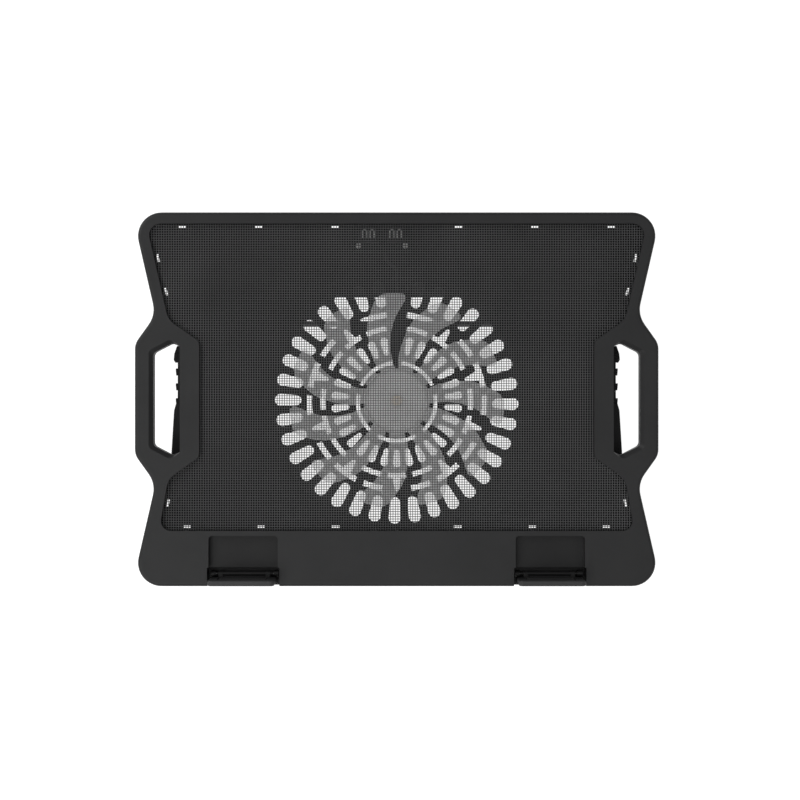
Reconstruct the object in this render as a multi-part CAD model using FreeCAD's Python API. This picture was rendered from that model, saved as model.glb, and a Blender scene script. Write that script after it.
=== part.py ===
import FreeCAD, Part
import math
import os

os.makedirs("parts", exist_ok=True)
V = FreeCAD.Vector

# Laptop cooling pad, millimetres. X runs to the right, +Y to the rear, +Z up from the floor.
# At rest the stand is folded flat under the pad and both laptop stops are flipped up.

# overall
padHalfWidth = 182.5
padHalfDepth = 130.3
padTop = 34.0
frameThick = 2.8
partingZ = 24.0
wallThick = 2.0

# stand
footThick = 1.6
baseTop = 5.0
hingeY = -112.0
hingeZ = 9.0
propLength = 82.9
pinRadius = 1.8
pinClearance = 0.06
lugRadius = 3.4
rodRadius = 1.9
rodHalfLength = 156.4
toothPitch = 10.6
toothTop = 6.6
firstToothY = 31.0
toothCount = 4
rackNear = 149.6
rackFar = 157.6

# housing
floorBottom = 13.0
floorTop = 15.2
housingSideX = 150.4
handleZoneY = 50.0

# perforated sheet
sheetThick = 0.8
sheetLap = 2.4

# handle openings
handleBottom = 23.0

# fan
fanY = -1.0
bladeCount = 11
bladeTip = 75.5
hubRadius = 23.0
hubWall = 1.6
hubBottom = 18.2
hubTop = 28.2
bladeLow = 18.6
bladeHigh = 26.6
bladeThick = 1.4
shaftRadius = 1.5
bearingClearance = 0.03

# grille, radii from its own centre, a little in front of the fan's axis
grilleY = fanY - 0.85
outerSlotCount = 36
outerSlotTurn = -1.0
innerSlotCount = 30
innerSlotTurn = 6.0
ringPeriod = 72.0

# laptop stops
stopX = 106.9
stopHalfWidth = 23.1
pocketHalfWidth = 24.1
trenchHalfWidth = 25.2
pocketRearY = -95.1
pocketFrontY = -117.3
stopAxisY = -122.0
stopAxisZ = 27.4
stopNear = 2.3
stopFar = 6.2
stopLength = 24.0
stopHeel = 2.0
barrelRadius = 1.5
barrelEnds = (91.6, 121.6)
earRadius = 1.8
earEnds = ((88.6, 91.6), (121.6, 124.6))
collarRadius = 1.3
collarEnds = (86.3, 126.1)
knuckleEnds = ((82.6, 86.0), (126.4, 130.0))
stripHalfWidth = 16.8
stripBottom = 4.7
stripTop = 18.2
stripThick = 0.9
stopPinRadius = 0.9
pocketFloor = 29.1
trenchFloor = 22.9
tubWall = 1.5

# USB ports
portXs = (-19.9, -0.8)
portWidth = 13.1
portHeight = 5.8
portRear = 129.3
portLength = 18.5
boardZ = 16.4
boardThick = 1.6
boardScrewXs = (-27.0, 6.0)
boardScrewY = 108.4
boardScrewRadius = 2.1

# lead from the motor to the USB board: x, y of its corners
leadRadius = 1.0
leadZ = 16.9
leadRoute = ((0.0, 20.6), (0.0, 92.0), (-8.0, 98.0), (-8.0, 103.8))
leadBend = 5.0

# screws that join the halves, on the right side; each has a mirror image
screwSpots = ((38.0, -106.0), (142.0, -100.0), (144.0, -24.0), (144.0, 24.0))

# snap hooks and the windows in the floor under them: x, y, turn about Z of the way outwards from +Y
hookSpots = ((43.8, 122.1, 0), (97.9, 122.1, 0), (152.1, 122.1, 0), (169.0, 100.1, -103),
             (163.3, 76.2, -103), (161.8, -73.3, -81), (148.7, -90.2, 180), (96.2, -90.2, 180),
             (43.2, -90.2, 180))
hookLength = 5.6
hookWidth = 1.8
hookOutward = 4.0
hookThick = 0.9

# rubber feet on the right side: x, y
footSpots = ((155.8, -84.0), (147.5, 76.0))
footHalfLength = 11.0
footRadius = 3.2

# outlines on the right side, rear to front: x, y, corner radius
outlineRight = ((184.6, 130.3, 16.5), (168.2, 58.8, 18), (182.5, 38.8, 12),
                (182.5, -38.8, 12), (168.2, -58.8, 18), (184.6, -130.3, 16.5))
openingRight = ((174.3, 122.3, 8), (159.1, 55.3, 14), (137.5, 40.3, 5),
                (137.5, -40.3, 5), (159.1, -55.3, 14), (165.4, -91.6, 7))
windowRight = ((151.0, 36.7, 2.2), (156.6, 39.2, 4.5), (169.8, 32.2, 4),
               (169.8, -32.2, 4), (156.6, -39.2, 4.5), (151.0, -36.7, 2.2))
windowBevelRight = ((151.0, 37.1, 2.2), (157.4, 41.9, 4.5), (172.6, 33.9, 4),
                    (172.6, -33.9, 4), (157.4, -41.9, 4.5), (151.0, -37.1, 2.2))
bevelDepth = 2.4
baseOuterRight = ((151.0, 97.0, 14), (156.5, 36.0, 60), (156.6, 1.0, 6), (159.2, -8.0, 6),
                  (161.4, -44.0, 30), (157.4, -121.0, 14))
baseInnerRight = ((142.0, 73.0, 10), (148.2, 46.0, 20), (149.2, -30.0, 40), (152.4, -72.0, 40),
                  (152.4, -101.0, 8))

# fan blade edges, seen from above: radius, angle in degrees
bladeFrontEdge = ((22.0, 86.6), (31.0, 87.4), (44.0, 83.4), (56.0, 79.0), (67.0, 72.4), (75.5, 67.6))
bladeBackEdge = ((22.0, 92.6), (30.0, 96.4), (44.0, 95.8), (58.0, 91.2), (68.0, 86.4), (75.5, 83.6))


# shape helpers

def box(x0, x1, y0, y1, z0, z1):
    return Part.makeBox(x1 - x0, y1 - y0, z1 - z0, V(x0, y0, z0))


def rod(radius, x0, x1, y, z):
    """Cylinder along X."""
    return Part.makeCylinder(radius, x1 - x0, V(x0, y, z), V(1, 0, 0))


def post(radius, x, y, z0, z1):
    """Cylinder along Z."""
    return Part.makeCylinder(radius, z1 - z0, V(x, y, z0), V(0, 0, 1))


def mirrored(shape):
    return shape.mirror(V(0, 0, 0), V(1, 0, 0))


def both(shape):
    """The shape and its mirror image on the left."""
    return [shape, mirrored(shape)]


def fused(shapes):
    result = shapes[0]
    if len(shapes) > 1:
        result = shapes[0].fuse(shapes[1:])
    return result.removeSplitter()


def roundedWire(corners, z=0.0):
    """Closed outline with an arc of the given radius at each corner (x, y, radius)."""
    starts = []
    ends = []
    mids = []
    total = len(corners)
    for i, (x, y, radius) in enumerate(corners):
        here = V(x, y, z)
        before = V(corners[i - 1][0], corners[i - 1][1], z) - here
        after = V(corners[(i + 1) % total][0], corners[(i + 1) % total][1], z) - here
        before.normalize()
        after.normalize()
        half = before.getAngle(after) / 2
        reach = radius / math.tan(half)
        middle = before + after
        middle.normalize()
        centre = here + middle * (radius / math.sin(half))
        starts.append(here + before * reach)
        ends.append(here + after * reach)
        mids.append(centre - middle * radius)
    edges = []
    for i in range(total):
        edges.append(Part.Arc(starts[i], mids[i], ends[i]).toShape())
        following = starts[(i + 1) % total]
        if (following - ends[i]).Length > 1e-4:
            edges.append(Part.makeLine(ends[i], following))
    return Part.Wire(edges)


def symmetric(right):
    """Corners of a whole outline from those of its right side, rear to front."""
    left = [(-x, y, radius) for x, y, radius in reversed(right)]
    return list(right) + left


def prism(corners, z0, z1, grow=0.0):
    wire = roundedWire(corners)
    face = Part.Face(wire)
    if grow:
        face = face.makeOffset2D(grow)
        if face.ShapeType != "Face":
            face = Part.Face(face.Wires[0])
    face.translate(V(0, 0, z0))
    return face.extrude(V(0, 0, z1 - z0))


def polar(radius, degrees):
    turn = math.radians(degrees)
    return V(radius * math.cos(turn), radius * math.sin(turn), 0)


def ringSector(r0, r1, middle, halfAngle, z0, z1, centreY):
    """Part of a ring about the point (0, centreY)."""
    a0 = middle - halfAngle
    a1 = middle + halfAngle
    outer = Part.Arc(polar(r1, a0), polar(r1, middle), polar(r1, a1)).toShape()
    inner = Part.Arc(polar(r0, a1), polar(r0, middle), polar(r0, a0)).toShape()
    sides = [Part.makeLine(polar(r1, a1), polar(r0, a1)), Part.makeLine(polar(r0, a0), polar(r1, a0))]
    face = Part.Face(Part.Wire([outer, sides[0], inner, sides[1]]))
    face.translate(V(0, centreY, z0))
    return face.extrude(V(0, 0, z1 - z0))


def taperedSlot(r0, w0, r1, w1, degrees, z0, z1):
    """Radial slot of the grille: end circles of radius w0 at r0 and w1 at r1."""
    lean = math.asin((w1 - w0) / (r1 - r0))
    side = V(-math.sin(lean), math.cos(lean), 0)
    other = V(-math.sin(lean), -math.cos(lean), 0)
    inner = V(r0, 0, 0)
    outer = V(r1, 0, 0)
    edges = [
        Part.makeLine(inner + side * w0, outer + side * w1),
        Part.Arc(outer + side * w1, outer + V(w1, 0, 0), outer + other * w1).toShape(),
        Part.makeLine(outer + other * w1, inner + other * w0),
        Part.Arc(inner + other * w0, inner - V(w0, 0, 0), inner + side * w0).toShape()]
    face = Part.Face(Part.Wire(edges))
    face.rotate(V(0, 0, 0), V(0, 0, 1), degrees)
    face.translate(V(0, grilleY, z0))
    return face.extrude(V(0, 0, z1 - z0))


def stadium(x, y, halfLength, radius, z0, z1):
    """Upright block with round ends, long in Y."""
    corners = [(x - radius, y + halfLength), (x + radius, y + halfLength),
               (x + radius, y - halfLength), (x - radius, y - halfLength)]
    return prism([(cx, cy, radius * 0.98) for cx, cy in corners], z0, z1)


def filletTop(shape, radius, z, keep):
    """Round the edges that lie at height z and that keep() accepts."""
    edges = []
    for edge in shape.Edges:
        bound = edge.BoundBox
        if abs(bound.ZMin - z) < 0.01 and abs(bound.ZMax - z) < 0.01 and keep(bound):
            edges.append(edge)
    return shape.makeFillet(radius, edges)


def save(name, shapes):
    if isinstance(shapes, list):
        shape = Part.makeCompound(shapes)
    else:
        shape = shapes
    shape.exportStep("parts/" + name + ".step")
    print(name, len(shape.Solids), shape.isValid(), round(shape.Volume))


# pad shell

def stopTub():
    """Thick-walled tub under the front lip that holds one stop."""
    rear = pocketRearY + tubWall
    shallow = box(stopX - pocketHalfWidth - tubWall, stopX + pocketHalfWidth + tubWall,
                  pocketFrontY - tubWall, rear, pocketFloor - tubWall, padTop - frameThick)
    deep = box(stopX - trenchHalfWidth - tubWall, stopX + trenchHalfWidth + tubWall,
               -padHalfDepth, pocketFrontY + tubWall, trenchFloor - tubWall, padTop - frameThick)
    return shallow.fuse(deep)


def stopHollow():
    """Space cut out of the frame for one stop: shallow pocket, then a deep trench open to the front."""
    pocketCorners = [(stopX - pocketHalfWidth, pocketRearY, 2.6), (stopX + pocketHalfWidth, pocketRearY, 2.6),
                     (stopX + pocketHalfWidth, pocketFrontY - 1, 0.4),
                     (stopX - pocketHalfWidth, pocketFrontY - 1, 0.4)]
    pocket = prism(pocketCorners, pocketFloor, padTop + 1)
    trench = box(stopX - trenchHalfWidth, stopX + trenchHalfWidth,
                 -padHalfDepth - 1, pocketFrontY, trenchFloor, padTop + 1)
    return pocket.fuse(trench)


def stopKnuckle(x0, x1):
    """Bearing block for the stop's pin, round about the pin and standing on the trench floor."""
    half = earRadius + 0.2
    block = box(x0, x1, stopAxisY - half, stopAxisY + half, trenchFloor - 0.3, stopAxisZ)
    return block.fuse(rod(half, x0, x1, stopAxisY, stopAxisZ))


def topFrame():
    outline = symmetric(outlineRight)
    plate = prism(outline, padTop - frameThick, padTop)
    skirt = prism(outline, partingZ, padTop - frameThick)
    skirt = skirt.cut(prism(outline, partingZ, padTop - frameThick, -wallThick))
    handles = []
    for sign in (1, -1):
        block = box(housingSideX + 0.2, padHalfWidth + 1, -handleZoneY, handleZoneY,
                    handleBottom, padTop - frameThick)
        if sign < 0:
            block = mirrored(block)
        handles.append(block.common(prism(outline, handleBottom, padTop - frameThick)))
        bayWall = box(housingSideX - 1.2, housingSideX + 0.4, -handleZoneY, handleZoneY,
                      partingZ, padTop - frameThick)
        handles.append(bayWall if sign > 0 else mirrored(bayWall))
    tubs = both(stopTub())
    inside = prism(outline, partingZ - 5, padTop - frameThick)
    tubs = [tub.common(inside) for tub in tubs]
    posts = []
    for x, y in screwSpots:
        posts += both(post(3.2, x, y, floorTop, padTop - frameThick))
    hooks = []
    for x, y, turn in hookSpots:
        hooks += both(snapHook(x, y, turn))
    frame = fused([plate, skirt] + handles + tubs)
    frame = filletTop(frame, 2.4, padTop, lambda bound: True)
    cutters = [prism(symmetric(openingRight), padTop - frameThick - 0.01, padTop + 1)]
    cutters += both(prism(windowRight, handleBottom - 1, padTop + 1))
    cutters += both(stopHollow())
    sheetTop = padTop - frameThick
    cutters.append(prism(symmetric(openingRight), sheetTop - sheetThick - 0.1, sheetTop, sheetLap + 0.1))
    frame = frame.cut(cutters)
    frame = frame.cut(both(windowBevel()))
    knuckles = []
    for x0, x1 in knuckleEnds:
        knuckles += both(stopKnuckle(x0, x1))
    frame = fused([frame] + knuckles + posts + hooks)
    holes = []
    for sign in (1, -1):
        holes.append(rod(stopPinRadius, sign * stopX - 24.8, sign * stopX + 24.8, stopAxisY, stopAxisZ))
    for x, y in screwSpots:
        holes += both(post(1.25, x, y, floorTop - 1, 27.0))
    return frame.cut(holes)


def windowBevel():
    """Wide bevel round the outer side of a handle opening; it fades out at the inner side."""
    low = roundedWire(windowRight, padTop - bevelDepth)
    high = roundedWire(windowBevelRight, padTop)
    return Part.makeLoft([low, high], True, True)


def snapHook(x, y, turn):
    """Springy blade that drops from the frame just outside its window, with a barb at its foot."""
    half = hookLength / 2 - 0.4
    foot = floorTop + 2.8
    blade = box(-half, half, hookOutward, hookOutward + hookThick, foot, padTop - frameThick + 0.3)
    barb = box(-half, half, hookOutward - 0.9, hookOutward + 0.1, foot, foot + 1.4)
    hook = blade.fuse(barb)
    hook.rotate(V(0, 0, 0), V(0, 0, 1), turn)
    hook.translate(V(x, y, 0))
    return hook


def perforatedSheet():
    top = padTop - frameThick
    return prism(symmetric(openingRight), top - sheetThick, top, sheetLap)


def housingOutline():
    """The pad's outline with a straight-sided bay at each handle."""
    body = prism(symmetric(outlineRight), floorBottom, partingZ)
    bay = box(housingSideX, padHalfWidth + 1, -handleZoneY - 0.2, handleZoneY + 0.2,
              floorBottom - 1, partingZ + 1)
    return body.cut(both(bay))


def grilleCutters():
    z0 = floorBottom - 1
    z1 = floorTop + 1

    def arcSlot(r0, r1, middle, halfAngle):
        return ringSector(r0, r1, middle, halfAngle, z0, z1, grilleY)

    cutters = []
    for i in range(outerSlotCount):
        angle = outerSlotTurn + 360.0 / outerSlotCount * i
        if abs(angle - 90) > 5:
            cutters.append(taperedSlot(71.0, 3.5, 82.0, 4.3, angle, z0, z1))
    for i in range(innerSlotCount):
        angle = innerSlotTurn + 360.0 / innerSlotCount * i
        if abs(angle - 90) > 5:
            cutters.append(taperedSlot(35.4, 1.75, 43.7, 2.75, angle, z0, z1))
    for i in range(5):
        tee = 18.0 + ringPeriod * i
        between = tee + ringPeriod / 2
        cutters.append(arcSlot(26.2, 29.0, between, 29.0))
        if abs(tee - 90) < 1:
            cutters += [arcSlot(59.9, 64.0, tee + side * 15.4, 8.7) for side in (1, -1)]
        else:
            head = arcSlot(59.9, 64.0, tee, 8.3)
            cutters.append(head.fuse(taperedSlot(52.0, 1.3, 60.0, 3.4, tee, z0, z1)))
            cutters += [arcSlot(59.9, 64.0, tee + side * 20.0, 6.4) for side in (1, -1)]
        foot = arcSlot(50.5, 54.2, between, 7.2)
        cutters.append(foot.fuse(taperedSlot(54.5, 2.9, 61.5, 1.5, between, z0, z1)))
        cutters += [arcSlot(50.5, 54.2, between + side * 20.0, 8.0) for side in (1, -1)]
    return cutters


def padLug(x0, x1, y):
    """Knuckle hanging from the housing floor, round about its pin."""
    block = box(x0, x1, y - lugRadius, y + lugRadius, hingeZ, floorBottom + 0.5)
    return block.fuse(rod(lugRadius, x0, x1, y, hingeZ))


def bottomHousing():
    body = housingOutline()
    body = filletTop(body, 2.6, floorBottom, lambda bound: True)
    hollow = prism(symmetric(outlineRight), floorTop, partingZ + 1, -wallThick)
    bay = box(housingSideX - wallThick, padHalfWidth + 1, -handleZoneY - 0.2 - wallThick,
              handleZoneY + 0.2 + wallThick, floorTop - 1, partingZ + 2)
    hollow = hollow.cut(both(bay))
    body = body.cut(hollow)
    tubSpace = box(stopX - trenchHalfWidth - tubWall - 0.3, stopX + trenchHalfWidth + tubWall + 0.3,
                   -padHalfDepth - 1, pocketFrontY + 2.2, trenchFloor - tubWall, partingZ + 1)
    body = body.cut(both(tubSpace))
    frontEdge = frontRelief()
    body = body.cut([frontEdge])
    ribs = []
    for side in (1, -1):
        ribs.append(box(side * 2.6 - 0.6, side * 2.6 + 0.6, 26.0, 92.0, floorTop - 0.3, floorTop + 2.0))
    for x in boardScrewXs:
        ribs.append(post(3.0, x, boardScrewY, floorTop - 0.3, boardZ))
    ribs.append(post(25.4, 0, fanY, floorTop - 0.3, floorTop + 0.6))
    ribs.append(post(4.6, 0, fanY, floorTop - 0.3, floorTop + 1.6))
    lugs = both(padLug(58.4, 65.6, hingeY))
    lugs += both(padLug(122.0, 126.6, hingeY + propLength))
    lugs += both(padLug(139.4, 144.0, hingeY + propLength))
    body = fused([body] + ribs + lugs)
    holes = grilleCutters()
    for x, y, turn in hookSpots:
        window = box(-hookLength / 2, hookLength / 2, -hookWidth / 2, hookWidth / 2,
                     floorBottom - 1, floorTop + 1)
        window.rotate(V(0, 0, 0), V(0, 0, 1), turn)
        window.translate(V(x, y, 0))
        holes += both(window)
    for x, y in screwSpots:
        holes += both(post(1.5, x, y, floorBottom - 1, floorTop + 1))
        holes += both(post(2.9, x, y, floorBottom - 1, floorBottom + 1.2))
    for x in portXs:
        holes.append(box(x - portWidth / 2 - 0.2, x + portWidth / 2 + 0.2, 127.0, padHalfDepth + 1,
                         boardZ + boardThick - 0.2, partingZ + 1))
    for x in boardScrewXs:
        holes.append(post(1.0, x, boardScrewY, floorTop - 0.6, boardZ + 1))
    for sign in (1, -1):
        holes.append(rod(pinRadius + pinClearance, sign * 62.0 - 5, sign * 62.0 + 5, hingeY, hingeZ))
        holes.append(rod(pinRadius, sign * 133.0 - 12, sign * 133.0 + 12, hingeY + propLength, hingeZ))
    holes.append(post(3.6, 0, fanY, floorTop + 0.2, floorTop + 3))
    return body.cut(holes)


def frontRelief():
    """Slope under the front edge, so that the tilted pad clears the floor."""
    points = [V(-200, -padHalfDepth - 1, floorBottom - 1), V(-200, -padHalfDepth + 9.0, floorBottom - 1),
              V(-200, -padHalfDepth + 6.0, floorBottom), V(-200, -padHalfDepth - 1, floorBottom + 4.5)]
    face = Part.Face(Part.makePolygon(points + [points[0]]))
    return face.extrude(V(400, 0, 0))


def housingScrews():
    screws = []
    for x, y in screwSpots:
        head = post(2.6, x, y, floorBottom + 0.1, floorBottom + 1.2)
        recess = post(1.1, x, y, floorBottom, floorBottom + 0.6)
        shank = post(1.25, x, y, floorBottom + 1.2, 25.0)
        screws += both(head.fuse(shank).removeSplitter().cut(recess))
    return screws


# laptop stops

def laptopStop(sign):
    """Flap standing up at the front edge, with its barrel and the web that joins them."""
    front = stopAxisY - stopFar
    rear = stopAxisY - stopNear
    bottom = stopAxisZ - stopHeel
    top = stopAxisZ + stopLength
    plate = box(stopX - stopHalfWidth, stopX + stopHalfWidth, front, rear, bottom, top)
    corners = [edge for edge in plate.Edges if edge.BoundBox.YLength > 1 and edge.BoundBox.ZMin > bottom + 1]
    plate = plate.makeFillet(3.0, corners)
    rim = [edge for edge in plate.Edges if edge.BoundBox.YLength < 0.01 and edge.BoundBox.ZMax > bottom + 0.1]
    plate = plate.makeFillet(1.1, rim)
    recess = box(stopX - stripHalfWidth - 0.2, stopX + stripHalfWidth + 0.2, rear - stripThick - 0.1, rear + 1,
                 stopAxisZ + stripBottom - 0.2, stopAxisZ + stripTop + 0.2)
    plate = plate.cut(recess)
    barrel = rod(barrelRadius, *barrelEnds, stopAxisY, stopAxisZ)
    collar = rod(collarRadius, *collarEnds, stopAxisY, stopAxisZ)
    ears = []
    for x0, x1 in earEnds:
        ears.append(rod(earRadius, x0, x1, stopAxisY, stopAxisZ))
        ears.append(box(x0, x1, rear - 0.5, stopAxisY, stopAxisZ - earRadius, stopAxisZ + earRadius))
    web = box(*barrelEnds, rear - 0.5, stopAxisY, stopAxisZ - 1.2, stopAxisZ + 0.6)
    flap = fused([plate, barrel, collar, web] + ears)
    flap = flap.cut(rod(stopPinRadius + 0.05, collarEnds[0] - 1, collarEnds[1] + 1, stopAxisY, stopAxisZ))
    return flap if sign > 0 else mirrored(flap)


def stopStrip(sign):
    """Rubber strip set in the stop's recess, where the laptop's edge rests."""
    rear = stopAxisY - stopNear
    strip = box(stopX - stripHalfWidth, stopX + stripHalfWidth, rear - stripThick - 0.1, rear - 0.1,
                stopAxisZ + stripBottom, stopAxisZ + stripTop)
    return strip if sign > 0 else mirrored(strip)


def stopPin(sign):
    pin = rod(stopPinRadius, knuckleEnds[0][0], knuckleEnds[1][1], stopAxisY, stopAxisZ)
    return pin if sign > 0 else mirrored(pin)


# fan

def edgeCurve(points, z, lag):
    """Blade edge as a smooth curve through (radius, angle) points, turned back by lag degrees."""
    track = []
    for radius, angle in points:
        spot = polar(radius, angle - lag)
        track.append(V(spot.x, spot.y, z))
    curve = Part.BSplineCurve()
    curve.interpolate(track)
    return curve.toShape()


def fanRotor():
    cup = post(hubRadius, 0, 0, hubBottom, hubTop)
    cup = filletTop(cup, 1.2, hubTop, lambda bound: True)
    cup = cup.cut(post(hubRadius - hubWall, 0, 0, hubBottom - 1, hubTop - hubWall))
    cup = cup.fuse(post(3.4, 0, 0, hubTop - 4.0, hubTop - hubWall + 0.2))
    cup = cup.cut(post(shaftRadius, 0, 0, hubTop - 5.0, hubTop - hubWall))
    pitch = 360.0 / bladeCount
    high = edgeCurve(bladeFrontEdge, bladeHigh, 0)
    low = edgeCurve(bladeBackEdge, bladeLow, pitch)
    blade = Part.makeRuledSurface(high, low).extrude(V(0, 0, bladeThick))
    blade = blade.common(post(bladeTip, 0, 0, hubBottom, hubTop))
    blade = blade.cut(post(hubRadius - hubWall / 2, 0, 0, hubBottom - 1, hubTop + 1))
    blades = []
    for i in range(bladeCount):
        copy = blade.copy()
        copy.rotate(V(0, 0, 0), V(0, 0, 1), i * pitch)
        blades.append(copy)
    rotor = cup.fuse(blades)
    rotor.translate(V(0, fanY, 0))
    return rotor


def ring(outer, inner, z0, z1):
    return post(outer, 0, fanY, z0, z1).cut(post(inner, 0, fanY, z0 - 1, z1 + 1))


def rotorYoke():
    """Steel cup that closes the magnet's field inside the hub."""
    side = ring(21.3, 20.4, hubBottom + 0.6, hubTop - hubWall)
    top = ring(20.4, 5.0, hubTop - hubWall - 0.9, hubTop - hubWall)
    return side.fuse(top).removeSplitter()


def statorCore():
    """Laminated core: a round hub and four poles with curved shoes."""
    z0 = 19.4
    z1 = 23.6
    body = [ring(6.4, 3.6, z0, z1)]
    for i in range(4):
        arm = box(5.0, 14.0, -1.9, 1.9, z0, z1)
        arm.rotate(V(0, 0, 0), V(0, 0, 1), 45 + 90 * i)
        arm.translate(V(0, fanY, 0))
        body.append(arm)
        body.append(ringSector(13.4, 15.4, 45 + 90 * i, 37.0, z0, z1, fanY))
    return fused(body)


def statorCoils():
    """One winding round each pole."""
    coils = []
    for i in range(4):
        winding = box(6.9, 12.5, -4.0, 4.0, 17.9, 25.1)
        verticals = [edge for edge in winding.Edges if edge.BoundBox.XLength > 5]
        winding = winding.makeFillet(1.8, verticals)
        winding = winding.cut(box(6.0, 14.0, -2.0, 2.0, 19.3, 23.7))
        winding.rotate(V(0, 0, 0), V(0, 0, 1), 45 + 90 * i)
        winding.translate(V(0, fanY, 0))
        coils.append(winding)
    return coils


def motorBoard():
    """Round circuit board under the windings."""
    return ring(19.0, 4.7, floorTop + 0.6, floorTop + 1.8)


def bearingTube():
    """Brass tube that stands on the housing and carries the core."""
    return ring(3.6, 2.9, floorTop + 0.2, 23.8)


def bearingSleeve():
    return ring(2.9, shaftRadius + bearingClearance, floorTop + 0.9, 23.6)


def rotorShaft():
    shaft = post(shaftRadius, 0, fanY, floorTop + 1.1, hubTop - hubWall)
    groove = ring(shaftRadius + 0.5, shaftRadius - 0.4, floorTop + 1.5, floorTop + 1.9)
    return shaft.cut(groove)


# power

def usbShell(x):
    """Folded steel shell of one socket, with two spring tongues cut in its top."""
    z0 = boardZ + boardThick
    z1 = z0 + portHeight
    front = portRear - portLength
    wall = 0.35
    shell = box(x - portWidth / 2, x + portWidth / 2, front, portRear, z0, z1)
    shell = shell.cut(box(x - portWidth / 2 + wall, x + portWidth / 2 - wall,
                          front + wall, portRear + 1, z0 + wall, z1 - wall))
    for side in (1, -1):
        middle = x + side * 2.9
        slot = box(middle - 1.6, middle + 1.6, 112.4, 118.5, z1 - wall - 0.1, z1 + 1)
        slot = slot.cut(box(middle - 0.9, middle + 0.9, 112.0, 117.7, z1 - wall - 0.2, z1 + 2))
        shell = shell.cut(slot)
    return shell


def usbTongue(x):
    """Moulded block at the back of the socket, with its flat tongue."""
    z0 = boardZ + boardThick + 0.35
    front = portRear - portLength + 0.35
    block = box(x - 6.1, x + 6.1, front, front + 3.5, z0, z0 + 5.1)
    tongue = box(x - 5.6, x + 5.6, front + 3.5, portRear - 1.2, z0 + 2.9, z0 + 4.7)
    return block.fuse(tongue).removeSplitter()


def usbContacts(x):
    """Four spring contacts under the tongue."""
    z0 = boardZ + boardThick + 0.35
    contacts = []
    for step in (-3.5, -1.0, 1.0, 3.5):
        contacts.append(box(x + step - 0.5, x + step + 0.5, portRear - 14.0, portRear - 2.2,
                            z0 + 2.65, z0 + 2.9))
    return contacts


def usbBoard():
    board = box(-31.0, 10.8, 104.0, 124.0, boardZ, boardZ + boardThick)
    return board.cut([post(1.3, x, boardScrewY, boardZ - 1, boardZ + 3) for x in boardScrewXs])


def boardScrews():
    screws = []
    for x in boardScrewXs:
        top = boardZ + boardThick
        head = filletTop(post(boardScrewRadius, x, boardScrewY, top, top + 1.4), 0.6, top + 1.4,
                         lambda bound: True)
        cross = box(x - 1.4, x + 1.4, boardScrewY - 0.3, boardScrewY + 0.3, top + 0.8, top + 2)
        cross = cross.fuse(box(x - 0.3, x + 0.3, boardScrewY - 1.4, boardScrewY + 1.4, top + 0.8, top + 2))
        shank = post(1.0, x, boardScrewY, floorTop - 0.6, top)
        screws.append(head.fuse(shank).removeSplitter().cut(cross))
    return screws


def fanLead():
    """Lead from the motor board to the USB board, in straight runs joined by round bends."""
    points = [V(x, y, leadZ) for x, y in leadRoute]
    edges = []
    start = points[0]
    for i in range(1, len(points) - 1):
        back = points[i - 1] - points[i]
        onward = points[i + 1] - points[i]
        back.normalize()
        onward.normalize()
        half = back.getAngle(onward) / 2
        reach = leadBend / math.tan(half)
        middle = back + onward
        middle.normalize()
        arcMiddle = points[i] + middle * (leadBend / math.sin(half) - leadBend)
        edges.append(Part.makeLine(start, points[i] + back * reach))
        edges.append(Part.Arc(points[i] + back * reach, arcMiddle, points[i] + onward * reach).toShape())
        start = points[i] + onward * reach
    edges.append(Part.makeLine(start, points[-1]))
    section = Part.Wire([Part.makeCircle(leadRadius, points[0], V(0, 1, 0))])
    return Part.Wire(edges).makePipeShell([section], True, False)


# stand

def baseLug(x0, x1):
    block = box(x0, x1, hingeY - lugRadius, hingeY + lugRadius, baseTop - 0.5, hingeZ)
    return block.fuse(rod(lugRadius, x0, x1, hingeY, hingeZ))


def notchRack():
    """Row of saw teeth on the base arm; the prop's rod drops in behind one of them."""
    teeth = []
    for i in range(toothCount):
        y = firstToothY - toothPitch * i
        points = [V(rackNear, y - 3.4, baseTop - 0.8), V(rackNear, y + 1.6, baseTop - 0.8),
                  V(rackNear, y + 1.6, toothTop), V(rackNear, y + 0.2, toothTop)]
        face = Part.Face(Part.makePolygon(points + [points[0]]))
        teeth.append(face.extrude(V(rackFar - rackNear, 0, 0)))
    rail = box(rackNear, rackNear + 1.4, firstToothY - toothPitch * toothCount, 44.0, baseTop - 0.8, toothTop)
    return fused(teeth + [rail, rackStop()])


def rackStop():
    """Small block behind the last tooth that stands out from the side of the arm."""
    low = footThick + 0.6
    outline = ((-2.0, 26.2), (0.6, 26.2), (1.7, 28.2), (1.3, 32.5), (-0.6, 38.0), (-2.0, 38.0))
    corners = [V(rackFar + x, y, low) for x, y in outline]
    return Part.Face(Part.makePolygon(corners + [corners[0]])).extrude(V(0, 0, baseTop - low))


def standBase():
    outer = prism(symmetric(baseOuterRight), footThick, baseTop)
    outer = filletTop(outer, 1.0, baseTop, lambda bound: True)
    inner = prism(symmetric(baseInnerRight), footThick - 1, baseTop + 1)
    frame = outer.cut(inner)
    lugs = both(baseLug(53.0, 58.0)) + both(baseLug(66.0, 71.0))
    frame = fused([frame] + lugs + both(notchRack()))
    holes = [rod(pinRadius, sign * 62.0 - 10, sign * 62.0 + 10, hingeY, hingeZ) for sign in (1, -1)]
    return frame.cut(holes)


def hingePins():
    pins = []
    for sign in (1, -1):
        pins.append(rod(pinRadius, sign * 62.0 - 9.6, sign * 62.0 + 9.6, hingeY, hingeZ))
    return pins


def propPins():
    pins = []
    for sign in (1, -1):
        pins.append(rod(pinRadius, sign * 133.0 - 11.4, sign * 133.0 + 11.4, hingeY + propLength, hingeZ))
    return pins


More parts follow.
